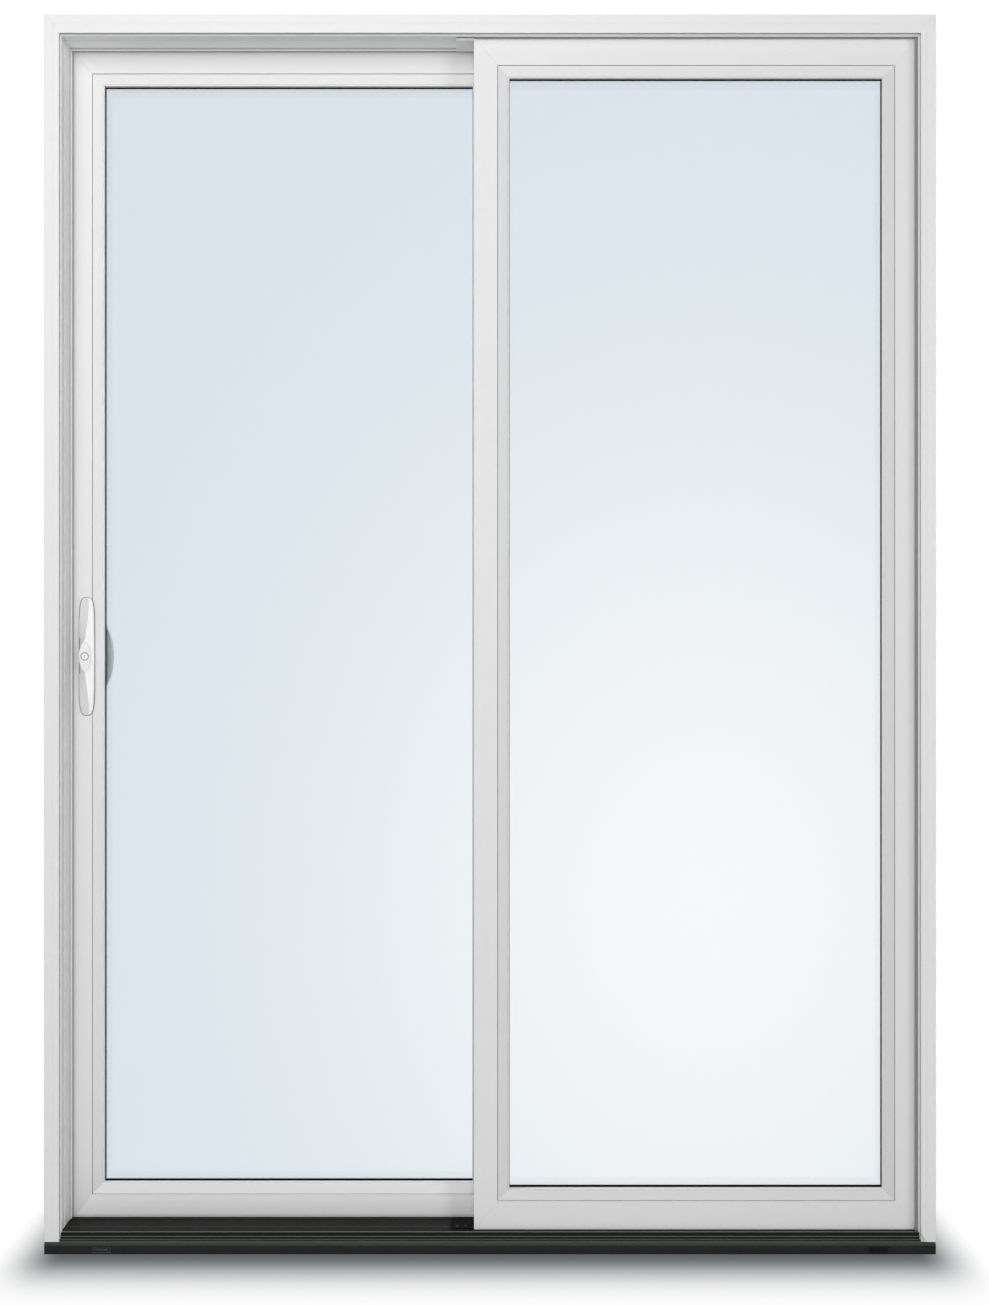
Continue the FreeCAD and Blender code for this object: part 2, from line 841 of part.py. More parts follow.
def make_outer_handle():
    """A twisted slim pull: the crest swings from right to left and back along its length."""
    body = new_part("outer_handle")
    half_length = dim.handle_length / 2
    half_wide = dim.handle_width / 2
    lower = [-along for along in reversed(HANDLE_STATIONS)]
    sections = []
    for along in (*lower, 0, *HANDLE_STATIONS):
        wide, crest, rise, side = handle_station(along)
        sketch = sketch_on(body, "XY", lock_z + half_length * (along / HANDLE_END))
        edge = half_wide * wide
        points = [
            (lock_x - edge, slide_front),
            (lock_x - edge, slide_front - dim.handle_rise * side),
            (lock_x + edge * crest, slide_front - dim.handle_rise * rise),
            (lock_x + edge, slide_front - dim.handle_rise * side),
            (lock_x + edge, slide_front),
        ]
        draw_polygon(sketch, points)
        sections.append(sketch)
    loft = body.newObject("PartDesign::AdditiveLoft", "outer_handle_loft")
    loft.Profile = sections[0]
    loft.Sections = sections[1:]
    loft.Ruled = True
    doc.recompute()
    sketch = sketch_on(body, "XZ", slide_front - dim.eye_rise)
    draw_lens(sketch, (lock_x, lock_z), dim.eye_width, dim.eye_length)
    pad(body, sketch, "XZ", dim.eye_rise)
    half_scoop = dim.scoop_length / 2
    points = [
        (slide_front, lock_z - half_scoop),
        (slide_front - dim.scoop_rise, lock_z - half_scoop / 2),
        (slide_front - dim.scoop_rise, lock_z + half_scoop / 2),
        (slide_front, lock_z + half_scoop),
    ]
    bore = dim.cylinder_radius + dim.cylinder_seat_gap
    left_edge = lock_x - half_wide
    cut_prism(body, "YZ", points, left_edge, left_edge + dim.scoop_reach)
    cut_rod(body, "XZ", (lock_x, lock_z), bore, slide_front - dim.eye_rise, slide_front)


def make_key_cylinder():
    body = new_part("key_cylinder")
    face = slide_front - dim.eye_rise
    add_rod(body, "XZ", (lock_x, lock_z), dim.cylinder_radius, face, slide_front)
    cut_rod(body, "XZ", (lock_x, lock_z), dim.plug_radius + dim.plug_gap, face, slide_front)
    body = new_part("key_plug")
    add_rod(body, "XZ", (lock_x, lock_z), dim.plug_radius, face, slide_front)
    points = rectangle(
        lock_x - dim.keyway_width / 2,
        lock_x + dim.keyway_width / 2,
        lock_z - dim.keyway_length / 2,
        lock_z + dim.keyway_length / 2,
    )
    cut_prism(body, "XZ", points, face, face + dim.keyway_depth)


def make_escutcheon():
    body = new_part("inner_escutcheon")
    sketch = sketch_on(body, "XZ", slide_back)
    draw_lens(sketch, (lock_x + escutcheon_shift(), lock_z), dim.escutcheon_width, dim.escutcheon_length)
    pad(body, sketch, "XZ", dim.escutcheon_thick)
    hole = dim.spindle_radius + dim.spindle_gap
    cut_rod(body, "XZ", (lock_x, lock_z), hole, slide_back, slide_back + dim.escutcheon_thick)


def escutcheon_shift():
    """Keeps the plate clear of the frame's inner leg by the panel's own side gap."""
    return left_face + dim.edge_gap + dim.escutcheon_width / 2 - lock_x


def make_inner_pull():
    """A bow that stands on the plate, with room for fingers behind its bar."""
    root = slide_back + dim.escutcheon_thick
    tip = root + dim.pull_reach
    half = dim.pull_length / 2
    inner = half - dim.pull_foot
    corner = dim.pull_corner
    points = [
        (root, lock_z - half),
        (tip - corner, lock_z - half),
        (tip, lock_z - half + corner),
        (tip, lock_z + half - corner),
        (tip - corner, lock_z + half),
        (root, lock_z + half),
        (root, lock_z + inner),
        (tip - dim.pull_bar - corner / 2, lock_z + inner),
        (tip - dim.pull_bar, lock_z + inner - corner / 2),
        (tip - dim.pull_bar, lock_z - inner + corner / 2),
        (tip - dim.pull_bar - corner / 2, lock_z - inner),
        (root, lock_z - inner),
    ]
    prism("inner_pull", "YZ", points, lock_x - dim.pull_width / 2, lock_x + dim.pull_width / 2)


def make_thumb_turn():
    """The inner lever on its spindle, which meets the key plug's back."""
    body = new_part("thumb_turn")
    plate = slide_back + dim.escutcheon_thick
    hub = plate + dim.turn_gap
    add_rod(body, "XZ", (lock_x, lock_z), dim.turn_hub_radius, hub, hub + dim.turn_hub_thick)
    add_rod(body, "XZ", (lock_x, lock_z), dim.spindle_radius, slide_front, hub + dim.turn_hub_thick)
    half = dim.turn_lever_width / 2
    reach = dim.turn_lever_length / 2
    points = rectangle(lock_x - half, lock_x + half, lock_z - reach, lock_z + reach)
    top = hub + dim.turn_hub_thick + dim.turn_lever_rise
    add_prism(body, "XZ", points, hub + dim.turn_hub_thick / 2, top)


def make_faceplate():
    high = slide_left + dim.faceplate_thick
    body = prism("lock_faceplate", "YZ", faceplate_outline(), slide_left, high)
    cut_prism(body, "YZ", hook_slot(), slide_left, high)


make_sill()
make_threshold()
make_track()
make_left_jamb()
make_right_jamb()
make_head_jamb()
make_weep_covers()
make_seal_blocks()
make_strike()
make_fixed_panel()
make_gliding_panel()
make_rollers()
make_faceplate()
make_outer_handle()
make_key_cylinder()
make_escutcheon()
make_inner_pull()
make_thumb_turn()

doc.recompute()
for item in doc.Objects:
    if "Invalid" in item.State or "Error" in item.State:
        raise RuntimeError("%s failed: %s" % (item.Label, item.State))
for body in parts:
    if body.Shape.isNull() or not body.Shape.isValid():
        raise RuntimeError("%s has no valid shape" % body.Label)
    if len(body.Shape.Solids) != 1:
        raise RuntimeError("%s is not one solid" % body.Label)

os.makedirs("parts", exist_ok=True)
for body in parts:
    body.Shape.exportStep("parts/%s.step" % body.Label)
print("%d parts written" % len(parts))
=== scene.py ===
"""Finishes, small fittings, light and camera for the gliding patio door.

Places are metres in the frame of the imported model: +X is right as seen from outside, +Y goes
to the inside, +Z is up, and the origin lies under the middle of the sill. Sections of trims,
seals and screws are given in millimetres.
"""

import json
import math

import bpy
import numpy as np
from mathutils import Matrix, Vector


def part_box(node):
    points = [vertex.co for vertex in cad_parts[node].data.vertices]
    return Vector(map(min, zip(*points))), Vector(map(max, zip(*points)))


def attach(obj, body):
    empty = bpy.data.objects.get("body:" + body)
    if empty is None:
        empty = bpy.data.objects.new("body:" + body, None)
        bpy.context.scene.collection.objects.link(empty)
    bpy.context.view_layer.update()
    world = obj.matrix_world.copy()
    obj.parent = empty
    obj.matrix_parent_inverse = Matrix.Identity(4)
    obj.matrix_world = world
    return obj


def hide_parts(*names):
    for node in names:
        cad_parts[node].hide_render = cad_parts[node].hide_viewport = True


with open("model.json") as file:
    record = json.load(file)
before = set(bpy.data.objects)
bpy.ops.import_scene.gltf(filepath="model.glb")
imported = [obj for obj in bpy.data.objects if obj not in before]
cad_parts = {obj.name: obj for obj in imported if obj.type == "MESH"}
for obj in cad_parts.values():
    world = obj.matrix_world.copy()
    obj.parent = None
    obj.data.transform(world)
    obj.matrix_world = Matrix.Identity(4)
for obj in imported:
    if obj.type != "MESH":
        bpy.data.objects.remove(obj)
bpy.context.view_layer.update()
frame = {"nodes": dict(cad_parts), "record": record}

MM = 0.001
OUT = (0.0, -1.0, 0.0)
IN = (0.0, 1.0, 0.0)
UP = (0.0, 0.0, 1.0)
DOWN = (0.0, 0.0, -1.0)
RIGHT = (1.0, 0.0, 0.0)
LEFT = (-1.0, 0.0, 0.0)

# Sizes of the profiles that the trims follow
STOP_PROUD = 2.0 * MM
STOP_THICK = 3.0 * MM
STILE_FLAT = 40.0 * MM
RAIL_FLAT = 48.0 * MM


# Shader groups that several finishes share


def start_group(name, inputs, outputs):
    """An empty shader group with float inputs (label, value) and outputs (label, socket type)."""
    tree = bpy.data.node_groups.new(name, "ShaderNodeTree")
    for label, value in inputs:
        socket = tree.interface.new_socket(label, in_out="INPUT", socket_type="NodeSocketFloat")
        socket.default_value = value
    for label, kind in outputs:
        tree.interface.new_socket(label, in_out="OUTPUT", socket_type=kind)
    return tree, tree.nodes.new("NodeGroupInput"), tree.nodes.new("NodeGroupOutput")


def noise_on_object(tree, scale, detail, roughness):
    """A noise texture on Object coordinates; the scale socket gives cells per metre."""
    place = tree.nodes.new("ShaderNodeTexCoord")
    noise = tree.nodes.new("ShaderNodeTexNoise")
    noise.inputs["Detail"].default_value = detail
    noise.inputs["Roughness"].default_value = roughness
    tree.links.new(place.outputs["Object"], noise.inputs["Vector"])
    tree.links.new(scale, noise.inputs["Scale"])
    return noise.outputs["Fac"]


def math_node(tree, operation, first, second=None):
    """One Math node; each operand is a socket or a number."""
    node = tree.nodes.new("ShaderNodeMath")
    node.operation = operation
    for slot, operand in enumerate((first, second)):
        if operand is None:
            continue
        if isinstance(operand, (int, float)):
            node.inputs[slot].default_value = operand
        else:
            tree.links.new(operand, node.inputs[slot])
    return node.outputs[0]


def make_grain_group():
    """Fine moulding grain: speckle = noise(Scale), with a slow mottle at a fortieth of that scale."""
    tree, source, result = start_group(
        "moulded_grain",
        [("Scale", 900.0)],
        [("Speckle", "NodeSocketFloat"), ("Mottle", "NodeSocketFloat")],
    )
    speckle = noise_on_object(tree, source.outputs["Scale"], 2.0, 0.6)
    slow = math_node(tree, "MULTIPLY", source.outputs["Scale"], 0.025)
    mottle = noise_on_object(tree, slow, 3.0, 0.5)
    tree.links.new(speckle, result.inputs["Speckle"])
    tree.links.new(mottle, result.inputs["Mottle"])
    return tree


def make_edge_group():
    """Rounded arrises: the normal blended over Radius, and a mask that rises as four times
    one less the cosine of the turn from the face."""
    tree, source, result = start_group(
        "soft_arris",
        [("Radius", 0.0008)],
        [("Normal", "NodeSocketVector"), ("Edge", "NodeSocketFloat")],
    )
    bevel = tree.nodes.new("ShaderNodeBevel")
    bevel.samples = 6
    tree.links.new(source.outputs["Radius"], bevel.inputs["Radius"])
    face = tree.nodes.new("ShaderNodeNewGeometry")
    cosine = tree.nodes.new("ShaderNodeVectorMath")
    cosine.operation = "DOT_PRODUCT"
    tree.links.new(bevel.outputs["Normal"], cosine.inputs[0])
    tree.links.new(face.outputs["Normal"], cosine.inputs[1])
    turn = math_node(tree, "SUBTRACT", 1.0, cosine.outputs["Value"])
    edge = math_node(tree, "MINIMUM", math_node(tree, "MULTIPLY", turn, 4.0), 1.0)
    tree.links.new(bevel.outputs["Normal"], result.inputs["Normal"])
    tree.links.new(edge, result.inputs["Edge"])
    return tree


grain_group = make_grain_group()
edge_group = make_edge_group()


# Finishes


class Finish:
    """A material with its principled shader and short calls for the nodes that feed it."""

    def __init__(self, name):
        self.material = bpy.data.materials.new(name)
        self.material.use_nodes = True
        self.tree = self.material.node_tree
        self.shader = self.tree.nodes["Principled BSDF"]

    def group(self, tree, **values):
        """A shader group placed with its own input values."""
        node = self.tree.nodes.new("ShaderNodeGroup")
        node.node_tree = tree
        for label, value in values.items():
            node.inputs[label].default_value = value
        return node

    def blend(self, mask, low, high):
        """A colour that goes from low to high with the mask; each is a grey or a colour."""
        node = self.tree.nodes.new("ShaderNodeMix")
        node.data_type = "RGBA"
        node.inputs[6].default_value = (*np.broadcast_to(low, 3).tolist(), 1.0)
        node.inputs[7].default_value = (*np.broadcast_to(high, 3).tolist(), 1.0)
        self.tree.links.new(mask, node.inputs[0])
        return node

    def span(self, value, low, high):
        """A value mapped from 0..1 to low..high."""
        node = self.tree.nodes.new("ShaderNodeMapRange")
        node.inputs["To Min"].default_value = low
        node.inputs["To Max"].default_value = high
        self.tree.links.new(value, node.inputs["Value"])
        return node.outputs["Result"]

    def bump(self, height, strength, distance, normal):
        """A bump over a normal, led into the shader."""
        node = self.tree.nodes.new("ShaderNodeBump")
        node.inputs["Strength"].default_value = strength
        node.inputs["Distance"].default_value = distance
        self.tree.links.new(height, node.inputs["Height"])
        self.tree.links.new(normal, node.inputs["Normal"])
        self.feed("Normal", node.outputs["Normal"])

    def feed(self, label, socket):
        """A socket led into one of the shader's inputs."""
        self.tree.links.new(socket, self.shader.inputs[label])

    def set(self, label, value):
        """A plain value on one of the shader's inputs."""
        self.shader.inputs[label].default_value = value


def coated(name, tones, scale, rough, bump, radius, specular):
    """A moulded or coated surface: speckled tone, mottled gloss, fine bump and rounded arrises with a
    painted highlight. The tones are low, high and painted arris highlight, and the radius is in
    millimetres."""
    finish = Finish(name)
    grain = finish.group(grain_group, Scale=scale)
    edge = finish.group(edge_group, Radius=radius * MM)
    tone = finish.blend(grain.outputs["Speckle"], tones[0], tones[1])
    # Painted highlight: the colour turns towards the third tone on the rounded arrises.
    arris_highlight = finish.blend(edge.outputs["Edge"], tones[0], tones[2])
    finish.tree.links.new(tone.outputs[2], arris_highlight.inputs[6])
    finish.feed("Base Color", arris_highlight.outputs[2])
    finish.feed("Roughness", finish.span(grain.outputs["Mottle"], *rough))
    finish.bump(grain.outputs["Speckle"], bump, 0.4 * MM, edge.outputs["Normal"])
    finish.set("Specular IOR Level", specular)
    return finish.material


def make_glass():
    """Clear float glass with a pale blue tint and a painted sky reflection: the blue thins out as
    exp(-r^2) round a point low on the right, where r is the distance from it in widths of 0.685 m and
    heights of 0.857 m."""
    finish = Finish("blue_glass")
    tree = finish.tree
    place = tree.nodes.new("ShaderNodeTexCoord")
    shift = tree.nodes.new("ShaderNodeMapping")
    shift.vector_type = "TEXTURE"
    shift.inputs["Location"].default_value = (0.371, 0.0, 0.588)
    shift.inputs["Scale"].default_value = (0.685, 1000.0, 0.857)
    tree.links.new(place.outputs["Object"], shift.inputs["Vector"])
    square = tree.nodes.new("ShaderNodeVectorMath")
    square.operation = "DOT_PRODUCT"
    tree.links.new(shift.outputs["Vector"], square.inputs[0])
    tree.links.new(shift.outputs["Vector"], square.inputs[1])
    fall = math_node(tree, "MULTIPLY", square.outputs["Value"], -1.0)
    reflection_fade = math_node(tree, "EXPONENT", fall)
    # Painted reflection: the blue fading towards white stands for the sky reflected in the panes.
    cast = finish.blend(reflection_fade, (0.823, 0.873, 0.901), (0.958, 0.966, 0.975))
    finish.feed("Base Color", cast.outputs[2])
    finish.set("Roughness", 0.0)
    finish.set("IOR", 1.45)
    finish.set("Transmission Weight", 1.0)
    return finish.material


def make_pile():
    """Grey brush pile: streaked tone across the fibres and no gloss."""
    finish = Finish("brush_pile")
    grain = finish.group(grain_group, Scale=1600.0)
    tone = finish.blend(grain.outputs["Speckle"], 0.38, (0.54, 0.54, 0.545))
    finish.feed("Base Color", tone.outputs[2])
    finish.feed("Roughness", finish.span(grain.outputs["Mottle"], 0.85, 1.0))
    finish.set("Specular IOR Level", 0.1)
    return finish.material


def make_bare_metal(name, low, high, scale, rough):
    """Bare metal with a brushed tone and gloss."""
    finish = Finish(name)
    grain = finish.group(grain_group, Scale=scale)
    edge = finish.group(edge_group, Radius=0.4 * MM)
    tone = finish.blend(grain.outputs["Speckle"], low, high)
    finish.feed("Base Color", tone.outputs[2])
    finish.feed("Roughness", finish.span(grain.outputs["Mottle"], *rough))
    finish.bump(grain.outputs["Speckle"], 0.05, 0.2 * MM, edge.outputs["Normal"])
    finish.set("Metallic", 1.0)
    return finish.material


# Each coat: tones (low, high, painted arris highlight), grain per metre, roughness, bump, arris
# radius, specular level
COATS = {
    "frame_vinyl": ((0.83, 0.91, 0.97), 700.0, (0.38, 0.5), 0.10, 1.0, 0.35),
    "panel_vinyl": ((0.79, 0.87, 0.95), 700.0, (0.38, 0.5), 0.12, 1.0, 0.35),
    "bead_vinyl": ((0.77, 0.82, 0.90), 900.0, (0.32, 0.42), 0.05, 0.8, 0.35),
    # Painted shade: a darker copy of the bead vinyl for the fixed panel's side beads.
    "bead_vinyl_painted_shade": ((0.71, 0.76, 0.86), 900.0, (0.32, 0.42), 0.05, 0.8, 0.35),
    # Painted light: a lighter copy of the vinyl for lips that catch light and for the gliding panel's
    # bottom rail and bead.
    "vinyl_painted_light": ((0.92, 0.97, 0.99), 900.0, (0.3, 0.4), 0.05, 0.6, 0.5),
    # Painted shade: a darker vinyl for the weld beads.
    "weld_vinyl_painted_shade": ((0.76, 0.82, 0.86), 900.0, (0.4, 0.5), 0.06, 0.3, 0.3),
    "gusset_vinyl": ((0.56, 0.66, 0.7), 900.0, (0.4, 0.5), 0.06, 0.4, 0.3),
    "spacer_bar": ((0.03, 0.05, 0.08), 1200.0, (0.5, 0.65), 0.10, 0.4, 0.2),
    "gasket_rubber": ((0.006, 0.012, 0.02), 1500.0, (0.6, 0.75), 0.10, 0.4, 0.05),
    # Grey of the seals, also used as painted shade in the fixed panel's gap and round the handle's
    # foot.
    "grey_seal_and_shade": ((0.30, 0.38, 0.42), 1500.0, (0.6, 0.75), 0.10, 0.4, 0.15),
    # Grey for the bottom sweep line, and painted shade for the reveal strips and the keyway slot.
    "grey_line_and_shade": ((0.50, 0.56, 0.60), 1200.0, (0.5, 0.6), 0.06, 0.3, 0.2),
    "seal_plastic": ((0.76, 0.84, 0.88), 1200.0, (0.5, 0.6), 0.08, 0.6, 0.3),
    "sill_metal": (
        ((0.011, 0.012, 0.0105), (0.017, 0.0185, 0.016), (0.14, 0.15, 0.14)),
        1200.0, (0.45, 0.58), 0.08, 1.4, 0.08,
    ),
    # Painted light: a lighter copy of the sill metal for the sill's front.
    "sill_metal_painted_lighter": (
        ((0.019, 0.0205, 0.018), (0.027, 0.029, 0.026), (0.15, 0.16, 0.15)),
        1200.0, (0.45, 0.58), 0.08, 1.4, 0.08,
    ),
    # Painted highlight for the lines along the sill's edges.
    "sill_edge_highlight": (
        ((0.17, 0.18, 0.17), (0.24, 0.25, 0.24), (0.26, 0.27, 0.26)),
        1500.0, (0.35, 0.5), 0.05, 0.3, 0.3,
    ),
    # Painted reflection for the paler strip on the sill nose's bevel.
    "nose_painted_reflection": (
        ((0.040, 0.042, 0.039), (0.052, 0.055, 0.051), 0.08),
        1200.0, (0.42, 0.55), 0.08, 0.4, 0.15,
    ),
    "weep_plastic": ((0.005, 0.010, 0.05), 1500.0, (0.5, 0.6), 0.06, 0.5, 0.15),
    # Lighter grey: painted highlight on the left weep flap, and the screw heads' grey on the seal
    # block.
    "weep_flap": ((0.055, 0.075, 0.10), 1500.0, (0.45, 0.55), 0.05, 0.4, 0.2),
    "roller_nylon": ((0.16, 0.22, 0.3), 1500.0, (0.45, 0.55), 0.05, 0.6, 0.3),
    "handle_white": ((0.60, 0.64, 0.72), 1400.0, (0.28, 0.36), 0.04, 1.2, 0.5),
    # Painted light: the inner white is lighter and warmer than the other whites, to brighten the
    # inner fittings seen through the glass.
    "inner_white": (
        ((0.95, 0.93, 0.915), (0.98, 0.96, 0.945), (0.99, 0.97, 0.96)),
        1400.0, (0.28, 0.36), 0.04, 1.2, 0.5,
    ),
    "cylinder_metal": ((0.74, 0.80, 0.85), 1600.0, (0.25, 0.35), 0.03, 0.5, 0.5),
    # Painted shade for the ring round the key cylinder.
    "cylinder_shade_ring": ((0.24, 0.30, 0.34), 1600.0, (0.3, 0.4), 0.04, 0.3, 0.3),
}
finishes = {name: coated(name, *coat) for name, coat in COATS.items()}
finishes["glass"] = make_glass()
finishes["brush_pile"] = make_pile()
finishes["track_metal"] = make_bare_metal("track_metal", 0.45, 0.62, 1500.0, (0.3, 0.45))
finishes["lock_steel"] = make_bare_metal("lock_steel", 0.5, 0.62, 1800.0, (0.25, 0.4))

# Nodes whose finish differs from that of their slot: lighter copies as painted light on the sill and
# the gliding panel's bottom rail and bead, and a darker copy as painted shade on the fixed panel's
# side beads
NODE_FINISHES = {
    "sill": "sill_metal_painted_lighter",
    "gliding_bottom_rail": "vinyl_painted_light",
    "gliding_bottom_bead": "vinyl_painted_light",
    "fixed_left_bead": "bead_vinyl_painted_shade",
    "fixed_right_bead": "bead_vinyl_painted_shade",
}
for part in frame["record"]["subparts"]:
    node, slot = frame["nodes"][part["node"]], part["material_slot"]
    node.data.materials.clear()
    node.data.materials.append(finishes[NODE_FINISHES.get(part["node"], slot)])
    node.visible_shadow = slot != "glass"


# Shapes of the added pieces, as (points, faces) worked out in whole arrays


def capped_tube(rings):
    """Rings (n, m, 3) of one count, joined round and along, with a flat face on the first and
    on the last."""
    n, m = rings.shape[:2]
    row = np.arange(n - 1)[:, None] * m
    here = np.arange(m)[None, :]
    beside = (here + 1) % m
    walls = np.stack([row + here, row + beside, row + m + beside, row + m + here], axis=-1)
    first = np.arange(m)[::-1]
    last = np.arange(m) + (n - 1) * m
    return rings.reshape(-1, 3), walls.reshape(-1, 4).tolist() + [first.tolist(), last.tolist()]


def closed_tube(rings):
    """Rings (n, m, 3) of one count, joined round and along, with the last joined to the first."""
    n, m = rings.shape[:2]
    row = np.arange(n)[:, None] * m
    after = np.roll(row, -1, axis=0)
    here = np.arange(m)[None, :]
    beside = (here + 1) % m
    walls = np.stack([row + here, row + beside, after + beside, after + here], axis=-1)
    return rings.reshape(-1, 3), walls.reshape(-1, 4).tolist()


def swept(outline, start, end, up):
    """An outline (u, v) carried straight from start to end: each end's point is
    end + u * side + v * up, with side = up x travel."""
    ends = np.array([start, end], float)
    travel = (ends[1] - ends[0]) / np.linalg.norm(ends[1] - ends[0])
    side = np.cross(up, travel)
    offsets = outline[:, :1] * side + outline[:, 1:] * np.array(up, float)
    return capped_tube(ends[:, None, :] + offsets[None, :, :])


def half_round(width, rise):
    """The outline (w/2 cos a, h sin a) for a from 0 to a half turn; the base closes it."""
    turn = np.linspace(0.0, math.pi, 9)
    return MM * np.stack([0.5 * width * np.cos(turn), rise * np.sin(turn)], axis=1)


def flat_strip(width, rise, cut):
    """A rectangle of that width and rise with its upper corners cut at 45 degrees."""
    half = 0.5 * width
    right = [(half, 0), (half, rise - cut), (half - cut, rise)]
    left = [(-u, v) for u, v in right[::-1]]
    return MM * np.array(right + left)


def round_rod(radius):
    """A circle of twelve points."""
    turn = np.arange(12) * math.pi / 6
    return MM * radius * np.stack([np.cos(turn), np.sin(turn)], axis=1)


def brush(start, end, up, width, rise):
    """Pile on a backing: a half-round section carried along, whose rise runs uneven as
    rise (0.93 + 0.07 sin(s / 4 mm) sin(s / 15 mm)) at the distance s from the start."""
    first, last = np.array(start, float), np.array(end, float)
    length = np.linalg.norm(last - first)
    travel = (last - first) / length
    along = np.linspace(0.0, length, int(length / (6 * MM)))[:, None, None]
    uneven = 0.93 + 0.07 * np.sin(along / (4 * MM)) * np.sin(along / (15 * MM))
    section = half_round(width, rise)[None, :, :]
    across = section[..., :1] * np.cross(up, travel)
    raised = section[..., 1:] * uneven * np.array(up, float)
    return capped_tube(first + along * travel + across + raised)


def half_round_ring(centre, axis, across, radii, width, rise):
    """A half-round section (w/2 cos a, h sin a) carried round an oval with the two radii given."""
    turn = np.linspace(0.0, -2 * math.pi, 48, endpoint=False)[:, None, None]
    east = np.cos(turn) * np.array(across, float)
    north = np.sin(turn) * np.cross(axis, across)
    oval = MM * (radii[0] * east + radii[1] * north)
    section = half_round(width, rise)[None, :, :]
    spread = section[..., :1] * (east + north) + section[..., 1:] * np.array(axis, float)
    return closed_tube(np.array(centre) + oval + spread)


def relief_plate(columns, rows, heights, place):
    """A plate whose face stands at a height over each point of a grid, closed by its edges and
    a flat back. place(u, v, h) gives the point for grid values u and v and a height h."""
    n, m = heights.shape
    u, v = np.meshgrid(columns, rows, indexing="ij")
    face = place(u, v, heights).reshape(-1, 3)
    index = np.arange(n * m).reshape(n, m)
    corners = [index[:-1, :-1], index[1:, :-1], index[1:, 1:], index[:-1, 1:]]
    quads = np.stack(corners, axis=-1).reshape(-1, 4)
    rim = np.concatenate([index[:-1, 0], index[-1, :-1], index[:0:-1, -1], index[0, :0:-1]])
    foot = place(u.ravel()[rim], v.ravel()[rim], np.zeros(len(rim)))
    low = np.arange(len(rim)) + n * m
    edge = np.stack([low, np.roll(low, -1), np.roll(rim, -1), rim], axis=-1)
    return np.concatenate([face, foot]), quads.tolist() + edge.tolist() + [low[::-1].tolist()]


def screw_head(centre, axis, across, radius, rise):
    """A domed head with a cross recess: the square grid (u, v) goes to the disc point
    (u sqrt(1 - v^2/2), v sqrt(1 - u^2/2)), and its height is rise (1 - 0.7 q^2) at q radii
    from the middle, less half the rise in the recess."""
    half = np.array([0.15, 0.2, 0.35, 0.6, 0.66, 0.85, 1.0])
    line = np.concatenate([-half[::-1], [0.0], half])
    u, v = np.meshgrid(line, line, indexing="ij")
    near, far = np.minimum(abs(u), abs(v)), np.maximum(abs(u), abs(v))
    recess = np.where((near < 0.17) & (far < 0.63), 0.5, 0.0)

    def disc(a, b):
        return a * np.sqrt(1 - b * b / 2), b * np.sqrt(1 - a * a / 2)

    def place(a, b, height):
        x, y = disc(a, b)
        flat = x[..., None] * np.array(across, float) + y[..., None] * np.cross(axis, across)
        return np.array(centre) + MM * (radius * flat + height[..., None] * np.array(axis, float))

    x, y = disc(u, v)
    return relief_plate(line, line, rise * (1 - 0.7 * (x**2 + y**2) - recess), place)


def together(*shapes):
    """Several shapes as one: the points in turn, with each shape's faces moved past the points
    before it."""
    starts = np.cumsum([0] + [len(points) for points, _ in shapes]).tolist()
    faces = [[i + start for i in face] for start, shape in zip(starts, shapes) for face in shape[1]]
    return np.concatenate([points for points, _ in shapes]), faces


def add_piece(name, shape, body, slot, finish=None):
    """A shape as an object at the origin that rides on a body, in its slot's finish or another."""
    mesh = bpy.data.meshes.new(name)
    mesh.from_pydata(shape[0].tolist(), [], shape[1])
    mesh.materials.append(finishes[finish or slot])
    piece = bpy.data.objects.new(name, mesh)
    bpy.context.scene.collection.objects.link(piece)
    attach(piece, body)
    return piece


# Weather seals


def add_pile(name, start, end, up, width, rise):
    """Brush pile on the frame between two points."""
    pile = brush(start, end, up, width, rise)
    add_piece(name, pile, "frame", "gasket_rubber", "brush_pile")


def add_stop_piles():
    """Pile behind the outer stops, before the inner ones and in the interlock."""
    stop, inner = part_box("left_outer_stop"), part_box("left_inner_stop")
    lip, back = stop[1][0], stop[1][1]
    low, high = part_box("threshold")[1][2] + 0.5 * MM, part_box("head_outer_stop")[0][2]
    edge, level, corner = lip - 0.6 * MM, high + 2.4 * MM, 2.7 * MM
    add_pile("left_stop_pile", (edge, back, low), (edge, back, high - corner), IN, 6.6, 4.0)
    head_ends = (lip + corner, back, level), (-lip - corner, back, level)
    add_pile("head_stop_pile", *head_ends, IN, 6.6, 4.0)
    side, face = inner[1][0] - 1.0 * MM, inner[0][1]
    top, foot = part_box("head_inner_stop")[0][2] + 1.0 * MM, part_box("inner_sill_leg")[1][2]
    half, foot_line = 3.0 * MM, foot - 3.2 * MM
    add_pile("left_inner_pile", (side, face, foot), (side, face, top - half), OUT, 6.0, 4.0)
    add_pile("right_inner_pile", (-side, face, foot), (-side, face, top - half), OUT, 6.0, 4.0)
    add_pile("head_inner_pile", (side - half, face, top), (half - side, face, top), OUT, 6.0, 4.0)
    add_pile("sill_inner_pile", (side, face, foot_line), (-side, face, foot_line), OUT, 6.0, 4.0)
    lap, rear = 2.0 * MM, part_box("fixed_right_stile")[1][1]
    add_pile("interlock_pile", (lap, rear, low), (lap, rear, high - 4.0 * MM), IN, 6.0, 7.0)


